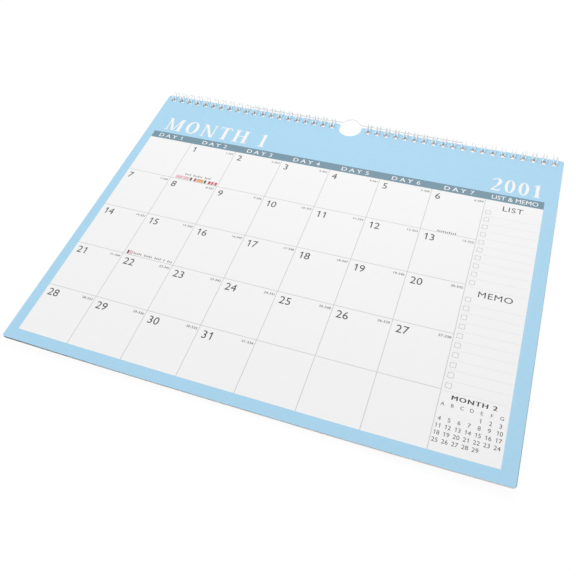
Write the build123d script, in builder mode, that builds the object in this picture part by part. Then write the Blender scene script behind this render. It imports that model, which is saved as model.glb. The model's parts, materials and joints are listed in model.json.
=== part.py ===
from build123d import *
import math
import os

# Wall calendar lying on its back: leaves and a back board bound by two twin-loop
# wires, with a wire hanger over a thumb notch. X runs along the binding, Y points
# up the page, Z out of the printed face. The origin is under the middle of the
# calendar, on the surface that it lies on. All sizes are in millimetres.

# Leaves and board
sheet_width = 370.0
sheet_height = 295.0
sheet_corner_radius = 1.0
leaf_count = 12
leaf_thickness = 0.13
board_thickness = 0.5

# Punched holes and thumb notch, measured from the sheets' top edge
hole_width = 4.4
hole_height = 5.0
hole_margin = 2.5
side_margin = 4.0
notch_width = 20.3
notch_depth = 14.0
notch_margin = 3.0

# Twin-loop binding wire: three loops to the inch, two strands to a loop
loop_pitch = 25.4 / 3
loop_diameter = 8.8
wire_diameter = 0.9
strand_spacing = 2.9
loop_sides = 12
closure_angle = 285.0
closure_gap = 0.5

# Where the sheets hang in the loops
axis_inset = 0.8
board_clearance = 0.14
swing_clearance = 0.06

# Wire hanger
hanger_length = 200.0
hanger_diameter = 1.0
hanger_sides = 8
hanger_clearance = 0.15
arch_rise = 6.0
arch_overlap = 0.35
bend_radius = 5.0

# Heights, worked out from the loops' axis. The board lies as low in the loops as its
# punched margin can. The leaves lie above it, just high enough for their top edge to
# swing past the board when they are turned over.
loop_outer_radius = loop_diameter / 2
loop_inner_radius = loop_outer_radius - wire_diameter
loop_radius = loop_outer_radius - wire_diameter / 2
axis_z = loop_outer_radius
board_depth = math.sqrt((loop_inner_radius - board_clearance) ** 2 - (hole_margin - axis_inset) ** 2)
board_bottom_z = axis_z - board_depth
swing_radius = board_depth - board_thickness - swing_clearance
page_bottom_z = axis_z - math.sqrt(swing_radius**2 - axis_inset**2)
page_thickness = leaf_count * leaf_thickness
page_depth = axis_z - page_bottom_z - page_thickness

# The hanger's arms lie against the far side of the loops, low enough for the turned
# leaves to pass over them.
hanger_radius = hanger_diameter / 2
arm_rise = page_depth - hanger_radius - hanger_clearance
arm_orbit = loop_inner_radius - hanger_radius - hanger_clearance
arm_reach = math.sqrt(arm_orbit**2 - arm_rise**2)
arch_half_span = notch_width / 2 + arch_overlap
arch_angle = math.degrees(2 * math.atan(arch_rise / arch_half_span))
crown_radius = (arch_half_span**2 + arch_rise**2) / (2 * arch_rise) - bend_radius

# Places along Y
arch_reach = arm_reach + arch_rise + hanger_radius - axis_inset
overall_length = sheet_height + arch_reach
sheet_top_y = overall_length / 2 - arch_reach
sheet_centre_y = sheet_top_y - sheet_height / 2
hole_centre_y = sheet_top_y - hole_margin - hole_height / 2
axis_y = sheet_top_y - axis_inset
arm_y = axis_y + arm_reach

# Loop positions on the right half, counted in pitches from the middle of the sheet
first_position = math.ceil((notch_width / 2 + notch_margin + hole_width / 2) / loop_pitch)
last_position = math.floor((sheet_width / 2 - side_margin - hole_width / 2) / loop_pitch)
loop_offsets = [position * loop_pitch for position in range(first_position, last_position + 1)]
loop_places = [side * offset for side in (-1, 1) for offset in loop_offsets]

os.makedirs("parts", exist_ok=True)

# Outline that the leaves and the board share: punched holes and a thumb notch
with BuildSketch() as punched_outline:
    with Locations((0, sheet_centre_y)):
        RectangleRounded(sheet_width, sheet_height, sheet_corner_radius)
    with Locations(*[(place, hole_centre_y) for place in loop_places]):
        Rectangle(hole_width, hole_height, mode=Mode.SUBTRACT)
    with Locations((0, sheet_top_y)):
        SlotOverall(2 * notch_depth, notch_width, rotation=90, mode=Mode.SUBTRACT)

# Back board
with BuildPart() as back_board:
    with BuildSketch(Plane.XY.offset(board_bottom_z)):
        add(punched_outline.sketch)
    extrude(amount=board_thickness)
back_board.part.label = "back_board"
export_step(back_board.part, "parts/back_board.step")

# Leaves, one block
with BuildPart() as page_block:
    with BuildSketch(Plane.XY.offset(page_bottom_z)):
        add(punched_outline.sketch)
    extrude(amount=page_thickness)
page_block.part.label = "page_block"
export_step(page_block.part, "parts/page_block.step")

# Loop profiles, seen along the binding. A strand is a ring of short flats, open at the
# closure. A tip joins the two strands of a loop on one side of the closure, and a
# spine run joins neighbouring loops on the other side.
flat_turn = 180 / loop_sides
closure_shift = (closure_gap + wire_diameter) / 2

with BuildSketch() as ring:
    RegularPolygon(loop_outer_radius, loop_sides, major_radius=False, rotation=flat_turn)
    RegularPolygon(loop_inner_radius, loop_sides, major_radius=False, rotation=flat_turn, mode=Mode.SUBTRACT)
with BuildSketch() as strand_profile:
    add(ring.sketch)
    with PolarLocations(loop_radius, 1, start_angle=closure_angle):
        Rectangle(2 * wire_diameter, closure_gap, mode=Mode.SUBTRACT)
with BuildSketch() as tip_profile:
    add(ring.sketch)
    with PolarLocations(loop_radius, 1, start_angle=closure_angle):
        with Locations((0, -closure_shift)):
            Rectangle(2 * wire_diameter, wire_diameter, mode=Mode.INTERSECT)
with BuildSketch() as spine_profile:
    add(ring.sketch)
    with PolarLocations(loop_radius, 1, start_angle=closure_angle):
        with Locations((0, closure_shift)):
            Rectangle(2 * wire_diameter, wire_diameter, mode=Mode.INTERSECT)

# Binding wires, one on each side of the notch
loop_plane = Plane(origin=(0, axis_y, axis_z), x_dir=(0, 1, 0), z_dir=(1, 0, 0))
strand_shifts = (-strand_spacing / 2, strand_spacing / 2)
strand_offsets = [offset + shift for offset in loop_offsets for shift in strand_shifts]

with BuildPart() as right_binding_wire:
    with BuildSketch(*[loop_plane.offset(offset) for offset in strand_offsets]):
        add(strand_profile.sketch)
    extrude(amount=wire_diameter / 2, both=True)
    with BuildSketch(*[loop_plane.offset(offset) for offset in loop_offsets]):
        add(tip_profile.sketch)
    extrude(amount=(strand_spacing + wire_diameter) / 2, both=True)
    with BuildSketch(*[loop_plane.offset(offset + loop_pitch / 2) for offset in loop_offsets[:-1]]):
        add(spine_profile.sketch)
    extrude(amount=(loop_pitch - strand_spacing + wire_diameter) / 2, both=True)
right_binding_wire.part.label = "right_binding_wire"
export_step(right_binding_wire.part, "parts/right_binding_wire.step")

with BuildPart() as left_binding_wire:
    mirror(right_binding_wire.part, about=Plane.YZ)
left_binding_wire.part.label = "left_binding_wire"
export_step(left_binding_wire.part, "parts/left_binding_wire.step")

# Wire hanger: two straight arms and an arch of three tangent arcs
with BuildPart() as wire_hanger:
    with BuildLine(Plane.XY.offset(axis_z + arm_rise)) as hanger_path:
        left_arm = Line((-hanger_length / 2, arm_y), (-arch_half_span, arm_y))
        left_bend = JernArc(left_arm @ 1, left_arm % 1, bend_radius, arch_angle)
        crown = JernArc(left_bend @ 1, left_bend % 1, crown_radius, -2 * arch_angle)
        right_bend = JernArc(crown @ 1, crown % 1, bend_radius, arch_angle)
        Line(right_bend @ 1, (hanger_length / 2, arm_y))
    with BuildSketch(Plane(origin=hanger_path.line @ 0, z_dir=hanger_path.line % 0)):
        RegularPolygon(hanger_radius, hanger_sides, major_radius=False, rotation=180 / hanger_sides)
    sweep()
wire_hanger.part.label = "wire_hanger"
export_step(wire_hanger.part, "parts/wire_hanger.step")
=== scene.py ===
from functools import lru_cache
import json
import math

import bpy
from mathutils import Matrix, Vector


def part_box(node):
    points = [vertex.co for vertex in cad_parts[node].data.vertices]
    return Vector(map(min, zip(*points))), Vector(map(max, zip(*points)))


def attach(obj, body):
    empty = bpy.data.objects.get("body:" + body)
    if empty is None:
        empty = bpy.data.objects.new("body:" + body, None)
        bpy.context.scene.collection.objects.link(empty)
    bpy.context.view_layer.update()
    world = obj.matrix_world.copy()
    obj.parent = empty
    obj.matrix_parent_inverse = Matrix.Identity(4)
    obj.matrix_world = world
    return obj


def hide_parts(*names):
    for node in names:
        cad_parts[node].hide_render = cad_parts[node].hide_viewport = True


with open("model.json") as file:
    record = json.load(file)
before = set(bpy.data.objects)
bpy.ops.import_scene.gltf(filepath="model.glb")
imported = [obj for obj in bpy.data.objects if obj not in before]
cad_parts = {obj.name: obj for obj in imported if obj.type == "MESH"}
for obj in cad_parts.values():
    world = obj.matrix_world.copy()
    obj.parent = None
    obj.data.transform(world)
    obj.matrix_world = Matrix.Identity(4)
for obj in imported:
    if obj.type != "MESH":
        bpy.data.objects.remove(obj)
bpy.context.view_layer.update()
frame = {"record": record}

# Units: the scene is in metres, and sizes on the sheet are written in millimetres
MM = 0.001

# Places from the frame, in metres
page_low, page_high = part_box("page_block")
board_low, board_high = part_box("back_board")
wire_low, wire_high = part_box("right_binding_wire")
hanger_low, hanger_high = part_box("wire_hanger")
joints = {joint["name"]: joint for joint in frame["record"]["behaviour"]["joints"]}
LOOP_AXIS = joints["page_turn"]["pos_m"]
HANGER_AXIS = joints["hanger_swing"]["pos_m"]
SHEET_LEFT = page_low[0]
SHEET_TOP = page_high[1]
PAGE_TOP = page_high[2]

# Sheet, in millimetres across from its left edge and down from its top edge
WIDTH = (page_high[0] - page_low[0]) / MM
HEIGHT = (page_high[1] - page_low[1]) / MM
MIDDLE = WIDTH / 2
CORNER_RADIUS = 1.8
CORNER_STEPS = 4

# Leaves, in metres. The paper takes most of a leaf's pitch, and the rest is air.
LEAF_COUNT = 12
LEAF_PITCH = (PAGE_TOP - page_low[2]) / LEAF_COUNT
PAPER_SHARE = 0.96
LEAF_THICKNESS = PAPER_SHARE * LEAF_PITCH

# Longest steps of the meshes, in millimetres: of the month leaf and the board, of the leaves
# between them, and of the print
FINE_STEP = 8.0
UNDER_STEP = 16.0
INK_STEP = 10.0

# Punched holes and thumb notch, in millimetres. There are three loops to the inch. The rows of a
# sheet's mesh bend round the notch as far down as the apron's edge.
INCH = 25.4
LOOP_PITCH = INCH / 3
FIRST_LOOP = 2
LAST_LOOP = 21
HOLE_WIDTH = 4.4
HOLE_TOP = 2.5
HOLE_BOTTOM = 7.5
NOTCH_RADIUS = 10.15
NOTCH_DEPTH = 14.0
NOTCH_CENTRE = NOTCH_DEPTH - NOTCH_RADIUS
NOTCH_STEPS = 20
APRON_ROWS = [11.0, 14.0]
APRON_EDGE = 17.0

# Printed layout, in millimetres. The panel's left edge cuts into the first column.
PANEL_LEFT = 8.5
PANEL_RIGHT = 359.9
PANEL_BOTTOM = 285.8
BAND_TOP = 51.5
GRID_TOP = 59.8
GRID_LEFT = 6.2
COLUMN = 44.2
DAY_COLUMNS = 7
ROW = 45.36
ROWS = 5
LINE = 0.6
NOTES_LEFT = 315.0
NOTES_MIDDLE = (NOTES_LEFT + PANEL_RIGHT) / 2

# Curl of the sheets at their free corners, in millimetres: how high they rise, and how far in
# from each side that starts. On the left the sheets under the month leaf rise by a share of that.
LEFT_CURL = 3.4
LEFT_REACH = 170.0
RIGHT_CURL = 3.4
RIGHT_REACH = 130.0
CURL_POWER = 1.8
UNDER_SHARE = 0.68
UNDER_CURL = UNDER_SHARE * LEFT_CURL

# How the leaves under the month leaf lie out of line: a slip in millimetres that differs from
# leaf to leaf, and a turn in radians
SLIP = 0.12
ACROSS_PHASE = 2.4
DOWN_PHASE = 3.7
DOWN_START = 1.0
UNDER_TURN = 0.0008

# How far the print lies over the leaf, and each layer over the one below, in millimetres
INK_LIFT = 0.03
LAYER_LIFT = 0.004


# Colours
def srgb(red, green, blue):
    """A colour as it is seen, 0 to 255, as the linear values that shaders take."""
    def linear(value):
        value /= 255
        return value / 12.92 if value <= 0.04045 else ((value + 0.055) / 1.055) ** 2.4
    return (linear(red), linear(green), linear(blue), 1.0)


BLUE = srgb(175, 219, 244)
PANEL_WHITE = srgb(248, 248, 248)
SLATE = srgb(122, 152, 168)
# Painted shade: the dark margin of the leaves under the month leaf, standing in for the shadow in the gap
# under the month leaf's curled edge
PAINTED_SHADE_SLATE = srgb(92, 116, 132)
LINE_GREY = srgb(211, 212, 214)
PAPER_WHITE = srgb(236, 237, 239)
EDGE_WHITE = srgb(250, 250, 250)
BOARD_GREY = srgb(242, 243, 244)
INK_DARK = srgb(80, 80, 83)
INK_SOFT = srgb(98, 98, 101)
INK_GREY = srgb(126, 127, 130)
INK_MIST = srgb(196, 197, 199)
INK_PALE = srgb(238, 239, 240)
INK_WHITE = srgb(250, 251, 252)
TAG_RED = srgb(198, 78, 86)
TAG_AMBER = srgb(228, 176, 120)
TAG_SLATE = srgb(92, 94, 104)
TAG_ROSE = srgb(236, 196, 202)
WIRE_WHITE = srgb(251, 251, 251)
HANGER_GREY = srgb(240, 241, 242)
FLOOR_WHITE = srgb(250, 250, 250)
LIGHT_WHITE = (1.0, 1.0, 1.0, 1.0)


# Materials
def new_material(name):
    material = bpy.data.materials.new(name)
    material.use_nodes = True
    nodes = material.node_tree.nodes
    return material, nodes, material.node_tree.links, nodes["Principled BSDF"]


def mottled(nodes, links, shader, colour, scale, spread):
    """Multiplies a colour by fine noise in the object's own space."""
    place = nodes.new("ShaderNodeTexCoord")
    noise = nodes.new("ShaderNodeTexNoise")
    noise.inputs["Scale"].default_value = scale
    noise.inputs["Detail"].default_value = 5.0
    links.new(place.outputs["Object"], noise.inputs["Vector"])
    level = nodes.new("ShaderNodeMapRange")
    level.inputs["From Min"].default_value = 0.3
    level.inputs["From Max"].default_value = 0.7
    level.inputs["To Min"].default_value = 1.0 - spread
    level.inputs["To Max"].default_value = 1.0
    links.new(noise.outputs["Fac"], level.inputs["Value"])
    tint = nodes.new("ShaderNodeMix")
    tint.data_type = "RGBA"
    tint.blend_type = "MULTIPLY"
    tint.inputs["Factor"].default_value = 1.0
    tint.inputs["A"].default_value = colour
    links.new(level.outputs["Result"], tint.inputs["B"])
    links.new(tint.outputs["Result"], shader.inputs["Base Color"])
    return noise


def paper(name, colour, roughness=0.5, spread=0.03, scale=420.0, relief=0.08):
    """Coated paper: a faint mottle in its colour and a fine tooth in its surface."""
    material, nodes, links, shader = new_material(name)
    mottled(nodes, links, shader, colour, scale, spread)
    shader.inputs["Roughness"].default_value = roughness
    shader.inputs["Specular IOR Level"].default_value = 0.2
    place = nodes.new("ShaderNodeTexCoord")
    tooth = nodes.new("ShaderNodeTexNoise")
    tooth.inputs["Scale"].default_value = 2600.0
    tooth.inputs["Detail"].default_value = 3.0
    links.new(place.outputs["Object"], tooth.inputs["Vector"])
    bump = nodes.new("ShaderNodeBump")
    bump.inputs["Strength"].default_value = relief
    bump.inputs["Distance"].default_value = 0.02 * MM
    links.new(tooth.outputs["Fac"], bump.inputs["Height"])
    links.new(bump.outputs["Normal"], shader.inputs["Normal"])
    return material


def coated_wire(name, colour, roughness):
    """Nylon-coated or enamelled wire, slightly uneven in gloss."""
    material, nodes, links, shader = new_material(name)
    noise = mottled(nodes, links, shader, colour, scale=900.0, spread=0.05)
    gloss = nodes.new("ShaderNodeMapRange")
    gloss.inputs["To Min"].default_value = roughness - 0.08
    gloss.inputs["To Max"].default_value = roughness + 0.1
    links.new(noise.outputs["Fac"], gloss.inputs["Value"])
    links.new(gloss.outputs["Result"], shader.inputs["Roughness"])
    shader.inputs["Coat Weight"].default_value = 0.25
    shader.inputs["Coat Roughness"].default_value = 0.2
    return material


# How much of the floor's look is its own glow, and how strong that is
GLOW_SHARE = 0.85
GLOW_STRENGTH = 1.04


def floor_material():
    """White floor that stays white to the camera and in reflections, and keeps a soft shadow."""
    material, nodes, links, shader = new_material("floor_white")
    shader.inputs["Base Color"].default_value = FLOOR_WHITE
    shader.inputs["Roughness"].default_value = 0.9
    rays = nodes.new("ShaderNodeLightPath")
    seen = rays.outputs["Is Camera Ray"]
    for ray in ("Is Glossy Ray", "Is Transmission Ray"):
        either = nodes.new("ShaderNodeMath")
        either.operation = "MAXIMUM"
        links.new(seen, either.inputs[0])
        links.new(rays.outputs[ray], either.inputs[1])
        seen = either.outputs["Value"]
    share = nodes.new("ShaderNodeMath")
    share.operation = "MULTIPLY"
    share.inputs[1].default_value = GLOW_SHARE
    links.new(seen, share.inputs[0])
    glow = nodes.new("ShaderNodeEmission")
    glow.inputs["Color"].default_value = LIGHT_WHITE
    glow.inputs["Strength"].default_value = GLOW_STRENGTH
    mix = nodes.new("ShaderNodeMixShader")
    links.new(share.outputs["Value"], mix.inputs["Fac"])
    links.new(shader.outputs["BSDF"], mix.inputs[1])
    links.new(glow.outputs["Emission"], mix.inputs[2])
    links.new(mix.outputs["Shader"], nodes["Material Output"].inputs["Surface"])
    return material


# Places on the sheet
def curl(across, down, left_curl=LEFT_CURL):
    """How far a sheet stands up from flat at a place on it, in millimetres."""
    left = max(0.0, 1.0 - across / LEFT_REACH)
    right = max(0.0, 1.0 - (WIDTH - across) / RIGHT_REACH)
    rise = left_curl * left**CURL_POWER + RIGHT_CURL * right**CURL_POWER
    return rise * (down / HEIGHT) ** CURL_POWER


def on_month_leaf(across, down, lift=0.0):
    """The point in the frame, in metres, over a place on the month leaf."""
    x = SHEET_LEFT + across * MM
    y = SHEET_TOP - down * MM
    return (x, y, PAGE_TOP + (curl(across, down) + lift) * MM)


def on_board(across, down):
    """The point in the frame, in metres, over a place on the board, which curls like the leaves on it."""
    x = SHEET_LEFT + across * MM
    y = SHEET_TOP - down * MM
    return (x, y, board_high[2] + curl(across, down, UNDER_CURL) * MM)


def filled(lines, step):
    """Sorted lines with even steps added wherever two lie further apart than a step."""
    lines = sorted(set(round(line, 4) for line in lines))
    result = [lines[0]]
    for line in lines[1:]:
        start = result[-1]
        parts = max(1, math.ceil((line - start) / step))
        result += [start + (line - start) * part / parts for part in range(1, parts + 1)]
    return result


def line_sides(places):
    """Both sides of printed lines."""
    return [place + side * LINE / 2 for place in places for side in (-1, 1)]


def on_line(value, places):
    return any(abs(value - place) < LINE / 2 for place in places)


# Lines of the sheets' meshes: they follow the punching, the rims and the print
LOOP_OFFSETS = [number * LOOP_PITCH for number in range(FIRST_LOOP, LAST_LOOP + 1)]
LOOP_PLACES = [MIDDLE + side * offset for side in (-1, 1) for offset in LOOP_OFFSETS]
HOLE_LINES = [place + side * HOLE_WIDTH / 2 for place in LOOP_PLACES for side in (-1, 1)]
NOTCH_TURNS = [math.pi * (step / NOTCH_STEPS - 0.5) for step in range(NOTCH_STEPS + 1)]
NOTCH_LINES = [MIDDLE + NOTCH_RADIUS * math.sin(turn) for turn in NOTCH_TURNS]
RIM_LINES = [CORNER_RADIUS * step / CORNER_STEPS for step in range(CORNER_STEPS + 1)]
SIDE_LINES = RIM_LINES + [WIDTH - line for line in RIM_LINES]
END_LINES = RIM_LINES + [HEIGHT - line for line in RIM_LINES]
PUNCH_ACROSS = HOLE_LINES + NOTCH_LINES + SIDE_LINES
PUNCH_DOWN = [HOLE_TOP, NOTCH_CENTRE, HOLE_BOTTOM] + APRON_ROWS + [APRON_EDGE] + END_LINES
COLUMN_PLACES = [GRID_LEFT + column * COLUMN for column in range(1, DAY_COLUMNS)] + [NOTES_LEFT]
ROW_PLACES = [GRID_TOP + row * ROW for row in range(1, ROWS)]


def in_hole(across, down):
    if not HOLE_TOP < down < HOLE_BOTTOM:
        return False
    return any(abs(across - place) < HOLE_WIDTH / 2 for place in LOOP_PLACES)


def in_notch(across, down):
    return abs(across - MIDDLE) < NOTCH_RADIUS and down < NOTCH_CENTRE


def notch_row(across, down):
    """Bends the rows under the notch so that the topmost follows its round floor."""
    offset = abs(across - MIDDLE)
    if offset >= NOTCH_RADIUS or down >= APRON_EDGE:
        return down
    rim = NOTCH_CENTRE + math.sqrt(NOTCH_RADIUS**2 - offset**2)
    return APRON_EDGE - (APRON_EDGE - down) * (APRON_EDGE - rim) / (APRON_EDGE - NOTCH_CENTRE)


def rounded_corner(across, down):
    """Draws the points in a corner of the sheet in, so that its rim becomes round."""
    centre_across = min(max(across, CORNER_RADIUS), WIDTH - CORNER_RADIUS)
    centre_down = min(max(down, CORNER_RADIUS), HEIGHT - CORNER_RADIUS)
    out_across, out_down = across - centre_across, down - centre_down
    reach = math.hypot(out_across, out_down)
    if reach == 0.0:
        return across, down
    share = max(abs(out_across), abs(out_down)) / reach
    return centre_across + out_across * share, centre_down + out_down * share


# Fields of colour on a sheet, which are also the numbers of its materials
PLAIN_FIELD, EDGE_FIELD, BLUE_FIELD, PANEL_FIELD, BAND_FIELD, LINE_FIELD, PAINTED_SHADE_FIELD = range(7)


def printed_field(across, down):
    """The month leaf: a blue margin round a band and a ruled panel."""
    if not PANEL_LEFT < across < PANEL_RIGHT or not BAND_TOP < down < PANEL_BOTTOM:
        return BLUE_FIELD
    if down < GRID_TOP:
        return BAND_FIELD
    if on_line(across, COLUMN_PLACES):
        return LINE_FIELD
    if across < NOTES_LEFT and on_line(down, ROW_PLACES):
        return LINE_FIELD
    return PANEL_FIELD


def under_field(across, down):
    """The leaves under the month leaf: a blue heading, a plain panel and a dark margin of painted shade,
    which stands in for the shadow between the month leaf and the leaves under it.
    """
    if down < BAND_TOP:
        return BLUE_FIELD
    if PANEL_LEFT < across < PANEL_RIGHT and down < PANEL_BOTTOM:
        return PANEL_FIELD
    # The margin is painted shade: a dark colour where there is only the shadow under the month leaf
    return PAINTED_SHADE_FIELD


def plain_field(across, down):
    return PLAIN_FIELD


# Meshes
def mesh_piece(name, corners, faces, materials, fields=None, smooth=True):
    mesh = bpy.data.meshes.new(name)
    mesh.from_pydata(corners, [], faces)
    for material in materials:
        mesh.materials.append(material)
    if fields:
        mesh.polygons.foreach_set("material_index", fields)
    mesh.polygons.foreach_set("use_smooth", [smooth] * len(mesh.polygons))
    mesh.update()
    piece = bpy.data.objects.new(name, mesh)
    bpy.context.scene.collection.objects.link(piece)
    return piece


def evaluated_mesh(name, curve):
    """The mesh that a curve or a line of lettering makes. The curve itself is removed."""
    helper = bpy.data.objects.new(name, curve)
    bpy.context.scene.collection.objects.link(helper)
    bpy.context.view_layer.update()
    depsgraph = bpy.context.evaluated_depsgraph_get()
    mesh = bpy.data.meshes.new_from_object(helper.evaluated_get(depsgraph))
    bpy.data.objects.remove(helper)
    bpy.data.curves.remove(curve)
    return mesh


def tube(name, points, radius, material, roundness):
    """A round wire through points, as a mesh with closed ends."""
    curve = bpy.data.curves.new(name, "CURVE")
    curve.dimensions = "3D"
    curve.bevel_depth = radius
    curve.bevel_resolution = roundness
    curve.use_fill_caps = True
    spline = curve.splines.new("POLY")
    spline.points.add(len(points) - 1)
    for point, place in zip(spline.points, points):
        point.co = (*place, 1.0)
    mesh = evaluated_mesh(name, curve)
    mesh.materials.clear()
    mesh.materials.append(material)
    mesh.polygons.foreach_set("use_smooth", [len(face.vertices) == 4 for face in mesh.polygons])
    piece = bpy.data.objects.new(name, mesh)
    bpy.context.scene.collection.objects.link(piece)
    return piece


def grid_ring(column, row, rows):
    """The corners of one cell, in a grid whose corners are counted down each column."""
    first = column * rows + row
    return (first, first + 1, first + rows + 1, first + rows)


def sheet_geometry(acrosses, downs, place, thickness, field):
    """Corners, faces, field numbers and rim edges of one punched sheet, with its back and its edges."""
    rows = len(downs)
    front = []
    for across in acrosses:
        for down in downs:
            front.append(place(*rounded_corner(across, notch_row(across, down))))
    back = [(x, y, z - thickness) for x, y, z in front]
    shift = len(front)
    faces, fields, sides, rims = [], [], {}, []
    for column in range(len(acrosses) - 1):
        for row in range(rows - 1):
            across = (acrosses[column] + acrosses[column + 1]) / 2
            down = (downs[row] + downs[row + 1]) / 2
            if in_hole(across, down) or in_notch(across, down):
                continue
            ring = grid_ring(column, row, rows)
            faces.append(ring)
            fields.append(field(across, down))
            faces.append(tuple(shift + corner for corner in reversed(ring)))
            fields.append(PLAIN_FIELD)
            # A side that two cells share drops out, which leaves the rims
            for start, end in zip(ring, ring[1:] + ring[:1]):
                if (end, start) in sides:
                    del sides[(end, start)]
                else:
                    sides[(start, end)] = True
    for start, end in sides:
        faces.append((end, start, shift + start, shift + end))
        fields.append(EDGE_FIELD)
        rims += [(start, end), (shift + start, shift + end)]
    return front + back, faces, fields, rims


def sheet_piece(name, sheets, materials):
    """One piece made of sheets, which shade flat up to their rims."""
    corners, faces, fields, sharp = [], [], [], set()
    for points, rings, marks, rims in sheets:
        base = len(corners)
        corners += points
        faces += [tuple(base + corner for corner in ring) for ring in rings]
        fields += marks
        sharp.update(tuple(sorted((base + start, base + end))) for start, end in rims)
    piece = mesh_piece(name, corners, faces, materials, fields)
    layer = piece.data.attributes.new("sharp_edge", "BOOLEAN", "EDGE")
    layer.data.foreach_set("value", [tuple(sorted(edge.vertices)) in sharp for edge in piece.data.edges])
    return piece


# Plain lettering
def text_outline(body, spacing=1.0):
    """Filled outline of a line of plain lettering, at the font's own size."""
    curve = bpy.data.curves.new("lettering", "FONT")
    curve.body = body
    curve.resolution_u = 3
    curve.space_character = spacing
    mesh = evaluated_mesh("lettering", curve)
    points = [(corner.co.x, corner.co.y) for corner in mesh.vertices]
    rings = [tuple(face.vertices) for face in mesh.polygons]
    bpy.data.meshes.remove(mesh)
    return points, rings


one_heights = [y for x, y in text_outline("1")[0]]
NUMERAL_TALL = max(one_heights) - min(one_heights)

# Digits in units of their height. The 1 is a stem with a flag.
DIGIT_STEP = 0.74
FLAG_LEFT = 0.15
STEM_LEFT = 0.36
STEM_RIGHT = 0.5
STEM_POINTS = [(STEM_LEFT, 0.0), (STEM_RIGHT, 0.0), (STEM_RIGHT, 1.0), (STEM_LEFT, 1.0)]
FLAG_POINTS = [(FLAG_LEFT, 0.7), (STEM_LEFT, 0.8), (STEM_LEFT, 0.98), (FLAG_LEFT, 0.81)]


@lru_cache(maxsize=None)
def digit_glyph(digit):
    if digit == "1":
        return STEM_POINTS + FLAG_POINTS, [(0, 1, 2, 3), (4, 5, 6, 7)]
    points, rings = text_outline(digit)
    return [(x / NUMERAL_TALL, y / NUMERAL_TALL) for x, y in points], rings


def word_glyphs(body, spacing):
    """Lettering scaled so that a numeral is one unit tall, with its width."""
    points, rings = text_outline(body, spacing)
    start = min(x for x, y in points)
    points = [((x - start) / NUMERAL_TALL, y / NUMERAL_TALL) for x, y in points]
    return points, rings, max(x for x, y in points)


# Ink marks on the month leaf
class Ink:
    """Flat marks of one colour, laid on the month leaf."""

    def __init__(self, name, colour):
        self.name = name
        self.colour = colour
        self.corners = []
        self.faces = []

    def add(self, places, rings, layer=0):
        """Adds flat faces, a hair higher for each layer so that faces that overlap don't meet."""
        base = len(self.corners)
        lift = INK_LIFT + layer * LAYER_LIFT
        self.corners += [on_month_leaf(across, down, lift) for across, down in places]
        self.faces += [tuple(base + corner for corner in ring) for ring in rings]

    def bar(self, left, top, right, bottom):
        """A filled rectangle, cut into steps so that it follows the leaf."""
        acrosses = filled([left, right], INK_STEP)
        downs = filled([top, bottom], INK_STEP)
        places = [(across, down) for across in acrosses for down in downs]
        rings = []
        for column in range(len(acrosses) - 1):
            for row in range(len(downs) - 1):
                rings.append(grid_ring(column, row, len(downs)))
        self.add(places, rings)

    def square(self, left, top, size, line):
        """A square outline."""
        right, bottom = left + size, top + size
        self.bar(left, top, right, top + line)
        self.bar(left, bottom - line, right, bottom)
        self.bar(left, top + line, left + line, bottom - line)
        self.bar(right - line, top + line, right, bottom - line)

    def text(self, body, across, base, height, align=0.0, weight=0.0, stretch=1.0, spacing=1.0):
        """Plain lettering on a base line. Align 0 starts at across, 0.5 centres on it and 1 ends there.
        Heavier lettering is the same outline laid twice, a weight apart."""
        points, rings, width = word_glyphs(body, spacing)
        start = across - align * width * height * stretch
        shifts = (-weight / 2, weight / 2) if weight else (0.0,)
        for layer, shift in enumerate(shifts):
            places = [(start + x * height * stretch + shift, base - y * height) for x, y in points]
            self.add(places, rings, layer)

    def number(self, value, across, base, height, align=0.0, stretch=1.0):
        """A plain number on a base line, its digits an even step apart. Align works as it does in text."""
        step = DIGIT_STEP * height * stretch
        start = across - align * len(str(value)) * step
        for place, digit in enumerate(str(value)):
            points, rings = digit_glyph(digit)
            left = start + place * step
            self.add([(left + x * height * stretch, base - y * height) for x, y in points], rings)

    def piece(self):
        """The marks as a piece that rides on the leaves."""
        material = paper(self.name + "_ink", self.colour, spread=0.06, scale=900.0, relief=0.04)
        piece = mesh_piece(self.name, self.corners, self.faces, [material], smooth=False)
        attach(piece, "leaves")


# Serif capitals and figures for the heading, drawn from stems, slants, bowls and serifs in units
# of the capital height. Each letter's function gives its parts and its width.
STEM = 0.19
HAIR = 0.07
SERIF = 0.055
SERIF_REACH = 0.09
BEAK = 0.035
BOWL_MIDDLE = 0.5
BOWL_RISE = 0.515
BOWL_STEPS = 40
WORD_SPACE = 0.3


def box_part(left, bottom, right, top):
    return [(left, bottom), (right, bottom), (right, top), (left, top)], [(0, 1, 2, 3)]


def stem_part(left, width=STEM):
    return box_part(left, 0, left + width, 1)


def slant_part(bottom, top, thick, low=0.0, high=1.0):
    return [(bottom, low), (bottom + thick, low), (top + thick, high), (top, high)], [(0, 1, 2, 3)]


def serif_part(left, right, level):
    """A flat serif under a stem at level 0, or over it at level 1."""
    low = level * (1 - SERIF)
    return box_part(left - SERIF_REACH, low, right + SERIF_REACH, low + SERIF)


def bowl_part(half_width, side, hair):
    """A ring that is thick at its sides and thin at its top and bottom."""
    points, rings = [], []
    for step in range(BOWL_STEPS):
        turn = 2 * math.pi * step / BOWL_STEPS
        for inset, inset_rise in ((0.0, 0.0), (side, hair)):
            x = half_width + (half_width - inset) * math.cos(turn)
            points.append((x, BOWL_MIDDLE + (BOWL_RISE - inset_rise) * math.sin(turn)))
        here, after = 2 * step, 2 * ((step + 1) % BOWL_STEPS)
        rings.append((here, after, after + 1, here + 1))
    return points, rings


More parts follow.
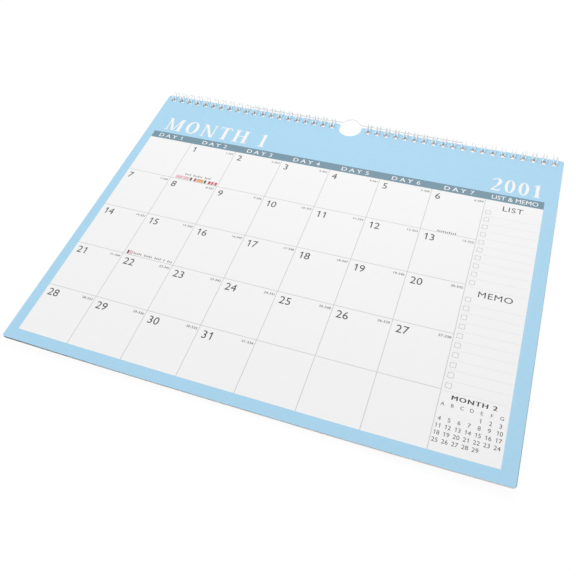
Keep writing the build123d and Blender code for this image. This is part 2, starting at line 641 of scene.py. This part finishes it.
def stroke_part(path):
    """A stroke through points, each with its own width."""
    points, rings = [], []
    for place, (x, y, wide) in enumerate(path):
        before, after = path[max(place - 1, 0)], path[min(place + 1, len(path) - 1)]
        run = Vector((after[0] - before[0], after[1] - before[1])).normalized() * wide / 2
        points += [(x - run.y, y + run.x), (x + run.y, y - run.x)]
    for place in range(len(path) - 1):
        first = 2 * place
        rings.append((first, first + 1, first + 3, first + 2))
    return points, rings


def letter_m():
    thin, thick = 0.12, 0.78
    parts = [stem_part(thin, HAIR), stem_part(thick)]
    parts += [slant_part(0.44, 0.1, 0.15), slant_part(0.5, 0.79, HAIR)]
    parts += [serif_part(thin, 0.17, 0), serif_part(thick, 0.93, 0)]
    parts += [box_part(0.0, 1 - SERIF, 0.22, 1), box_part(thick, 1 - SERIF, 1.02, 1)]
    return parts, 1.05


def letter_o():
    return [bowl_part(0.38, STEM, HAIR)], 0.76


def letter_n():
    left, right = 0.12, 0.72
    parts = [stem_part(left, HAIR), stem_part(right, HAIR), slant_part(0.6, 0.1, 0.17)]
    parts += [serif_part(left, 0.17, 0), box_part(0.0, 1 - SERIF, 0.2, 1), serif_part(right, 0.77, 1)]
    return parts, 0.86


def letter_t():
    middle, width, beak_low = 0.275, 0.7, 0.74
    parts = [stem_part(middle), box_part(0, 1 - HAIR, width, 1)]
    parts += [box_part(left, beak_low, left + BEAK, 1) for left in (0.0, width - BEAK)]
    parts += [serif_part(middle, 0.425, 0)]
    return parts, width


def letter_h():
    left, right, bar_low = 0.09, 0.6, 0.49
    parts = [stem_part(left), stem_part(right), box_part(0.2, bar_low, 0.65, bar_low + HAIR)]
    parts += [serif_part(stem, stem + STEM, level) for stem in (left, right) for level in (0, 1)]
    return parts, 0.84


def figure_one():
    left, right = 0.15, 0.32
    flag = stroke_part([(0.05, 0.85, 0.03), (0.17, 0.91, 0.06), (0.28, 0.98, 0.05)])
    return [box_part(left, 0, right, 0.99), serif_part(left, right, 0), flag], 0.42


def figure_two():
    """An arc that thickens on its right, a slope down to the left, and a foot with a beak."""
    middle, level, half_width, half_height = 0.24, 0.74, 0.18, 0.235
    arc = []
    for degrees in range(165, -46, -15):
        turn = math.radians(degrees)
        wide = 0.06 + 0.11 * max(0.0, math.cos(turn)) ** 0.8
        arc.append((middle + half_width * math.cos(turn), level + half_height * math.sin(turn), wide))
    slope = [(0.3, 0.42, 0.09), (0.17, 0.22, 0.07), (0.05, 0.06, 0.05)]
    foot = box_part(0.03, 0, 0.45, 0.11)
    return [stroke_part(arc + slope), foot, slant_part(0.41, 0.45, BEAK, 0.0, 0.22)], 0.5


def figure_nought():
    return [bowl_part(0.25, 0.15, 0.06)], 0.5


def word_space():
    return [], WORD_SPACE


SERIF_LETTERS = {
    "M": letter_m,
    "O": letter_o,
    "N": letter_n,
    "T": letter_t,
    "H": letter_h,
    "1": figure_one,
    "2": figure_two,
    "0": figure_nought,
    " ": word_space,
}


def heading(ink, word, left, base, height, length, stretch=1.0):
    """A word in serif capitals, spaced to fill a length."""
    letters = [SERIF_LETTERS[letter]() for letter in word]
    gap = (length / height - sum(width * stretch for parts, width in letters)) / (len(word) - 1)
    start = 0.0
    for parts, width in letters:
        for layer, (points, rings) in enumerate(parts):
            places = [(left + (start + x * stretch) * height, base - y * height) for x, y in points]
            ink.add(places, rings, layer)
        start += width * stretch + gap


# Inks
dark_ink = Ink("dark_print", INK_DARK)
soft_ink = Ink("soft_print", INK_SOFT)
grey_ink = Ink("grey_print", INK_GREY)
mist_ink = Ink("mist_print", INK_MIST)
pale_ink = Ink("pale_print", INK_PALE)
white_ink = Ink("white_print", INK_WHITE)
red_ink = Ink("red_print", TAG_RED)
amber_ink = Ink("amber_print", TAG_AMBER)
slate_ink = Ink("slate_print", TAG_SLATE)
rose_ink = Ink("rose_print", TAG_ROSE)
text_inks = [dark_ink, soft_ink, grey_ink, mist_ink, pale_ink, white_ink]
tag_inks = [red_ink, amber_ink, slate_ink, rose_ink]

# Dates and day counts
DAYS = 31
YEAR_DAYS = 365
FIRST_COLUMN = 1
DATE_TALL = 6.5
DATE_DROP = 3.4
DATE_IN = 3.65
FIRST_DATE_IN = 5.1
COUNT_TALL = 2.0
COUNT_DROP = 2.6
COUNT_IN = 1.3


def grid_place(day, first_column):
    """Row and column of a day in a month that starts in a given column."""
    return divmod(day - 1 + first_column, DAY_COLUMNS)


def print_dates():
    """A date in each cell, and in its corner the number of the day and of the days left in the year."""
    for day in range(1, DAYS + 1):
        row, column = grid_place(day, FIRST_COLUMN)
        top = GRID_TOP + row * ROW
        left = GRID_LEFT + column * COLUMN + (DATE_IN if column else FIRST_DATE_IN)
        dark_ink.number(day, left, top + DATE_DROP + DATE_TALL, DATE_TALL)
        count = f"{day}-{YEAR_DAYS - day}"
        right = COLUMN_PLACES[column] - COUNT_IN
        base = top + COUNT_DROP + COUNT_TALL
        grey_ink.text(count, right, base, COUNT_TALL, align=1.0, weight=0.12, stretch=1.1)


# Marked days: a strip of plain colour bars, with rows of grey ticks where a small note stands
TAG_TALL = 3.6
TAG_RISE = 0.6
TICK_WIDE = 0.75
TICK_PITCH = 1.5
TICK_TALL = 1.5
TALL_TICK = 2.0
TALL_EVERY = 3
WORD_GAP = 1.9


def cell_corner(day):
    """Left and bottom of a day's cell."""
    row, column = grid_place(day, FIRST_COLUMN)
    return GRID_LEFT + column * COLUMN, GRID_TOP + (row + 1) * ROW


def tick_note(day, start, rise, words):
    """A row of grey ticks, in groups of so many to a word."""
    left, bottom = cell_corner(day)
    place = left + start
    for ticks in words:
        for number in range(ticks):
            tall = TICK_TALL if number % TALL_EVERY else TALL_TICK
            grey_ink.bar(place, bottom - rise - tall, place + TICK_WIDE, bottom - rise)
            place += TICK_PITCH
        place += WORD_GAP


def tag_strip(day, start, bars):
    """Colour bars side by side, each an ink and a width. No ink leaves a gap."""
    left, bottom = cell_corner(day)
    place = left + start
    for ink, width in bars:
        if ink:
            ink.bar(place, bottom - TAG_RISE - TAG_TALL, place + width, bottom - TAG_RISE)
        place += width


def print_marked_days():
    pale_bars = [(rose_ink, 6.6), (None, 0.7), (rose_ink, 5.2), (None, 1.0)]
    warm_bars = [(red_ink, 1.8), (rose_ink, 1.7), (amber_ink, 5.4), (None, 0.8)]
    red_bars = [(red_ink, 1.8), (rose_ink, 1.4), (red_ink, 1.2), (rose_ink, 2.2), (red_ink, 1.6)]
    slate_bar = [(slate_ink, 1.9), (None, 2.0)]
    tag_strip(1, start=4.0, bars=pale_bars + slate_bar + warm_bars + slate_bar + red_bars)
    tick_note(1, start=11.2, rise=6.0, words=(4, 6, 4))
    tick_note(6, start=13.4, rise=0.5, words=(10,))
    tag_strip(15, start=2.4, bars=[(slate_ink, 1.3), (rose_ink, 3.6)])
    tick_note(15, start=8.3, rise=1.5, words=(5, 5, 4, 1, 3))


# Band over the columns, and the heading over it
BAND_BASE = GRID_TOP - 2.0
BAND_TALL = 4.3
BAND_STRETCH = 1.15
DAY_WORD_IN = 9.4
DAY_NUMBER_IN = 30.2


def print_band():
    for column in range(DAY_COLUMNS):
        left = GRID_LEFT + column * COLUMN
        white_ink.text("DAY", left + DAY_WORD_IN, BAND_BASE, BAND_TALL,
                       weight=0.16, stretch=BAND_STRETCH, spacing=1.5)
        white_ink.number(column + 1, left + DAY_NUMBER_IN, BAND_BASE, BAND_TALL, stretch=BAND_STRETCH)
    white_ink.text("LIST & MEMO", NOTES_MIDDLE, BAND_BASE, BAND_TALL, align=0.5, weight=0.1)


def print_heading():
    heading(white_ink, "MONTH 1", left=15.5, base=47.5, height=16.4, length=101.0)
    heading(white_ink, "2001", left=316.4, base=48.0, height=14.6, length=39.8, stretch=1.14)


# Notes column: two lists of check boxes, and the next month in small
LIST_TOPS = {"LIST": 71.7, "MEMO": 161.6}
LIST_TITLE_TALL = 5.2
LIST_TITLE_RISE = 2.1
BOX_COUNT = 10
BOX_PITCH = 8.2
BOX_SIZE = 4.2
BOX_LINE = 0.34
BOX_LEFT = NOTES_LEFT + 2.0
RULE_DROP = 6.2
RULE_LINE = 0.3
RULE_RIGHT = PANEL_RIGHT - 1.5
SMALL_TITLE_BASE = 247.3
SMALL_TITLE_TALL = 3.3
SMALL_LETTER_DROP = 5.6
SMALL_LETTER_TALL = 2.6
SMALL_DATE_DROP = 11.5
SMALL_DATE_TALL = 3.0
SMALL_LEFT = NOTES_LEFT + 3.1
SMALL_COLUMN = 6.28
SMALL_ROW = 5.15
SMALL_FIRST_COLUMN = 4
SMALL_DAYS = 29


def print_lists():
    for title, list_top in LIST_TOPS.items():
        dark_ink.text(title, NOTES_MIDDLE, list_top - LIST_TITLE_RISE, LIST_TITLE_TALL,
                      align=0.5, stretch=1.1, spacing=1.1)
        for number in range(BOX_COUNT):
            top = list_top + number * BOX_PITCH
            rule_top = top + RULE_DROP
            mist_ink.square(BOX_LEFT, top, BOX_SIZE, BOX_LINE)
            pale_ink.bar(BOX_LEFT, rule_top, RULE_RIGHT, rule_top + RULE_LINE)


def print_small_month():
    dark_ink.text("MONTH 2", NOTES_MIDDLE, SMALL_TITLE_BASE, SMALL_TITLE_TALL,
                  align=0.5, weight=0.4, stretch=1.2, spacing=1.2)
    for column, letter in enumerate("ABCDEFG"):
        across = SMALL_LEFT + column * SMALL_COLUMN
        soft_ink.text(letter, across, SMALL_TITLE_BASE + SMALL_LETTER_DROP, SMALL_LETTER_TALL, align=0.5)
    for day in range(1, SMALL_DAYS + 1):
        row, column = grid_place(day, SMALL_FIRST_COLUMN)
        across = SMALL_LEFT + column * SMALL_COLUMN
        base = SMALL_TITLE_BASE + SMALL_DATE_DROP + row * SMALL_ROW
        soft_ink.number(day, across, base, SMALL_DATE_TALL, align=0.5)


# Leaves
leaf_materials = [
    paper("leaf_back", PAPER_WHITE, spread=0.02),
    paper("leaf_edge", EDGE_WHITE, roughness=0.8, spread=0.06, scale=1500.0),
    paper("print_blue", BLUE),
    paper("print_panel", PANEL_WHITE, spread=0.012),
    paper("print_band", SLATE),
    paper("print_line", LINE_GREY),
    # Painted shade for the margins of the leaves under the month leaf
    paper("painted_shade_margin", PAINTED_SHADE_SLATE),
]


def leaves_piece(name, sheets):
    """Leaves that take the place of the page block."""
    piece = sheet_piece(name, sheets, leaf_materials)
    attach(piece, "leaves")
    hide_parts("page_block")


def month_leaf():
    print_across = line_sides(COLUMN_PLACES) + [PANEL_LEFT, NOTES_LEFT, PANEL_RIGHT]
    print_down = line_sides(ROW_PLACES) + [BAND_TOP, GRID_TOP, PANEL_BOTTOM]
    acrosses = filled(PUNCH_ACROSS + print_across, FINE_STEP)
    downs = filled(PUNCH_DOWN + print_down, FINE_STEP)
    return sheet_geometry(acrosses, downs, on_month_leaf, LEAF_THICKNESS, printed_field)


def under_leaf(number):
    """One of the leaves under the month leaf, a little out of line with it."""
    slip_across = SLIP * math.sin(ACROSS_PHASE * number)
    slip_down = SLIP * math.sin(DOWN_PHASE * number + DOWN_START)
    height = PAGE_TOP - number * LEAF_PITCH

    def place(across, down):
        x = SHEET_LEFT + (across + slip_across + UNDER_TURN * down) * MM
        y = SHEET_TOP - (down + slip_down - UNDER_TURN * (across - MIDDLE)) * MM
        return (x, y, height + curl(across, down, UNDER_CURL) * MM)

    acrosses = filled(PUNCH_ACROSS + [PANEL_LEFT, PANEL_RIGHT], UNDER_STEP)
    downs = filled(PUNCH_DOWN + [BAND_TOP, PANEL_BOTTOM], UNDER_STEP)
    return sheet_geometry(acrosses, downs, place, LEAF_THICKNESS, under_field)


leaves_piece("month_leaf", [month_leaf()])
leaves_piece("lower_leaves", [under_leaf(number) for number in range(1, LEAF_COUNT)])

# Print on the month leaf
print_dates()
print_marked_days()
print_band()
print_heading()
print_lists()
print_small_month()
for ink in text_inks + tag_inks:
    ink.piece()

# Binding wires, in millimetres. A loop is drawn flat as a route across and along its turn, from
# the spine to the tip and back, and then rolled round the loop axis.
WIRE_RADIUS = 0.5
LOOP_RADIUS = (wire_high[2] - wire_low[2]) / 2 / MM - WIRE_RADIUS
STRAND_SPACING = 2.9
STRAND_HALF = STRAND_SPACING / 2
SPINE_ANGLE = math.radians(-65)
TIP_ANGLE = math.radians(275)
TIP_START = (TIP_ANGLE - SPINE_ANGLE) * LOOP_RADIUS - STRAND_HALF
BEND_RADIUS = 0.9
STRAND_STEPS = 30
BEND_STEPS = 5
TIP_STEPS = 10
WIRE_ROUNDNESS = 3


def strand_route(wire_end):
    """The left strand of a loop, up from the spine. At an end of the wire it starts without a bend."""
    if wire_end:
        start = [(-STRAND_HALF, 0.0), (-STRAND_HALF, BEND_RADIUS / 2)]
    else:
        start = []
        for step in range(BEND_STEPS + 1):
            turn = math.pi / 2 * step / BEND_STEPS
            across = -STRAND_HALF - BEND_RADIUS * (1 - math.sin(turn))
            start.append((across, BEND_RADIUS * (1 - math.cos(turn))))
    climb = (TIP_START - BEND_RADIUS) / STRAND_STEPS
    return start + [(-STRAND_HALF, BEND_RADIUS + climb * step) for step in range(1, STRAND_STEPS)]


def loop_route(first, last):
    """One twin loop drawn flat: up one strand, round the tip and down the other."""
    tip = []
    for step in range(TIP_STEPS + 1):
        turn = math.pi * step / TIP_STEPS
        tip.append((-STRAND_HALF * math.cos(turn), TIP_START + STRAND_HALF * math.sin(turn)))
    return strand_route(first) + tip + [(-across, along) for across, along in reversed(strand_route(last))]


def binding_wire(name, side, material):
    """One continuous wire: twin loops rolled round the loop axis and joined along the spine."""
    offsets = sorted(side * offset for offset in LOOP_OFFSETS)
    points = []
    for offset in offsets:
        for across, along in loop_route(offset == offsets[0], offset == offsets[-1]):
            turn = SPINE_ANGLE + along / LOOP_RADIUS
            x = (offset + across) * MM
            y = LOOP_AXIS[1] + LOOP_RADIUS * math.cos(turn) * MM
            z = LOOP_AXIS[2] + LOOP_RADIUS * math.sin(turn) * MM
            points.append((x, y, z))
    piece = tube(name + "_round", points, WIRE_RADIUS * MM, material, WIRE_ROUNDNESS)
    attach(piece, "backing")
    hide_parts(name)


wire_coating = coated_wire("wire_coating", WIRE_WHITE, roughness=0.32)
binding_wire("left_binding_wire", -1, wire_coating)
binding_wire("right_binding_wire", 1, wire_coating)

# Hanger, in metres
HANGER_RADIUS = (hanger_high[2] - hanger_low[2]) / 2
ARCH_RISE = hanger_high[1] - HANGER_RADIUS - HANGER_AXIS[1]
ARCH_HALF = 10.5 * MM
ARCH_BEND = 5.0 * MM
ARCH_ANGLE = 2 * math.atan(ARCH_RISE / ARCH_HALF)
CROWN_RADIUS = (ARCH_HALF**2 + ARCH_RISE**2) / (2 * ARCH_RISE) - ARCH_BEND
ARC_STEPS = 12
HANGER_ROUNDNESS = 4


def hanger_route():
    """The hanger's line: two straight arms, two bends and a round crown."""
    left_half = [(hanger_low[0], 0.0)]
    for step in range(ARC_STEPS + 1):
        turn = ARCH_ANGLE * step / ARC_STEPS
        left_half.append((-ARCH_HALF + ARCH_BEND * math.sin(turn), ARCH_BEND * (1 - math.cos(turn))))
    for step in range(1, ARC_STEPS + 1):
        turn = ARCH_ANGLE * (1 - step / ARC_STEPS)
        left_half.append((-CROWN_RADIUS * math.sin(turn), ARCH_RISE - CROWN_RADIUS * (1 - math.cos(turn))))
    route = left_half + [(-x, rise) for x, rise in reversed(left_half[:-1])]
    return [(x, HANGER_AXIS[1] + rise, HANGER_AXIS[2]) for x, rise in route]


hanger_coating = coated_wire("hanger_coating", HANGER_GREY, roughness=0.28)
hanger = tube("wire_hanger_round", hanger_route(), HANGER_RADIUS, hanger_coating, HANGER_ROUNDNESS)
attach(hanger, "hanger")
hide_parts("wire_hanger")

# Board
board_materials = [
    paper("board_card", BOARD_GREY, roughness=0.85, spread=0.06, relief=0.25),
    paper("board_edge", BOARD_GREY, roughness=0.9, spread=0.12, scale=1500.0, relief=0.3),
]
board_across = filled(PUNCH_ACROSS, FINE_STEP)
board_down = filled(PUNCH_DOWN, FINE_STEP)
board_sheet = sheet_geometry(board_across, board_down, on_board, board_high[2] - board_low[2], plain_field)
board = sheet_piece("back_board_card", [board_sheet], board_materials)
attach(board, "backing")
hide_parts("back_board")

# Floor
FLOOR_HALF = 3.0
floor_corners = [(x * FLOOR_HALF, y * FLOOR_HALF, 0.0) for x, y in ((-1, -1), (1, -1), (1, 1), (-1, 1))]
floor = mesh_piece("floor", floor_corners, [(0, 1, 2, 3)], [floor_material()])

# Light: a white tent, brighter round its walls than overhead, and two soft lamps
TENT_WALL = 1.25
TENT_ROOF = 0.38
tent = bpy.data.worlds.new("studio")
tent.use_nodes = True
tent_nodes = tent.node_tree.nodes
tent_links = tent.node_tree.links
tent_place = tent_nodes.new("ShaderNodeTexCoord")
tent_split = tent_nodes.new("ShaderNodeSeparateXYZ")
tent_links.new(tent_place.outputs["Generated"], tent_split.inputs["Vector"])
tent_level = tent_nodes.new("ShaderNodeMapRange")
tent_level.inputs["To Min"].default_value = TENT_WALL
tent_level.inputs["To Max"].default_value = TENT_ROOF
tent_links.new(tent_split.outputs["Z"], tent_level.inputs["Value"])
tent_links.new(tent_level.outputs["Result"], tent_nodes["Background"].inputs["Strength"])
tent_nodes["Background"].inputs["Color"].default_value = LIGHT_WHITE
bpy.context.scene.world = tent


def soft_lamp(name, place, aim, size, power):
    lamp = bpy.data.lights.new(name, "AREA")
    lamp.shape = "DISK"
    lamp.size = size
    lamp.energy = power
    holder = bpy.data.objects.new(name, lamp)
    holder.location = place
    holder.rotation_euler = (Vector(aim) - Vector(place)).to_track_quat("-Z", "Y").to_euler()
    bpy.context.scene.collection.objects.link(holder)


soft_lamp("key_lamp", place=(-0.05, 0.85, 0.95), aim=(0.0, 0.05, 0.0), size=0.8, power=5.6)
soft_lamp("fill_lamp", place=(-0.6, -0.95, 0.5), aim=(-0.1, 0.0, 0.0), size=0.9, power=2.4)

# Camera, from a fit on the sheet's corners and loops. The focal length and the shift of the
# picture's centre are in the photo's pixels.
CAMERA_PLACE = Vector((124.59, -320.79, 405.28)) * MM
CAMERA_LOOK = Vector((-0.26437, 0.53772, -0.8006)).normalized()
CAMERA_RIGHT = Vector((0.93699, 0.33978, -0.0812)).normalized()
CAMERA_UP = CAMERA_RIGHT.cross(CAMERA_LOOK).normalized()
PHOTO_SIZE = 576
FOCAL_PIXELS = 659.6
CENTRE_SHIFT = (17.1, -0.2)
SENSOR = 36.0

camera = bpy.data.objects.new("camera", bpy.data.cameras.new("camera"))
camera.data.sensor_width = SENSOR
camera.data.lens = SENSOR * FOCAL_PIXELS / PHOTO_SIZE
camera.data.shift_x = CENTRE_SHIFT[0] / PHOTO_SIZE
camera.data.shift_y = CENTRE_SHIFT[1] / PHOTO_SIZE
camera.data.clip_start = 0.01
camera_turn = Matrix((CAMERA_RIGHT, CAMERA_UP, -CAMERA_LOOK)).transposed().to_4x4()
camera.matrix_world = Matrix.Translation(CAMERA_PLACE) @ camera_turn
bpy.context.scene.collection.objects.link(camera)
bpy.context.scene.camera = camera
bpy.context.scene.view_settings.view_transform = "Standard"
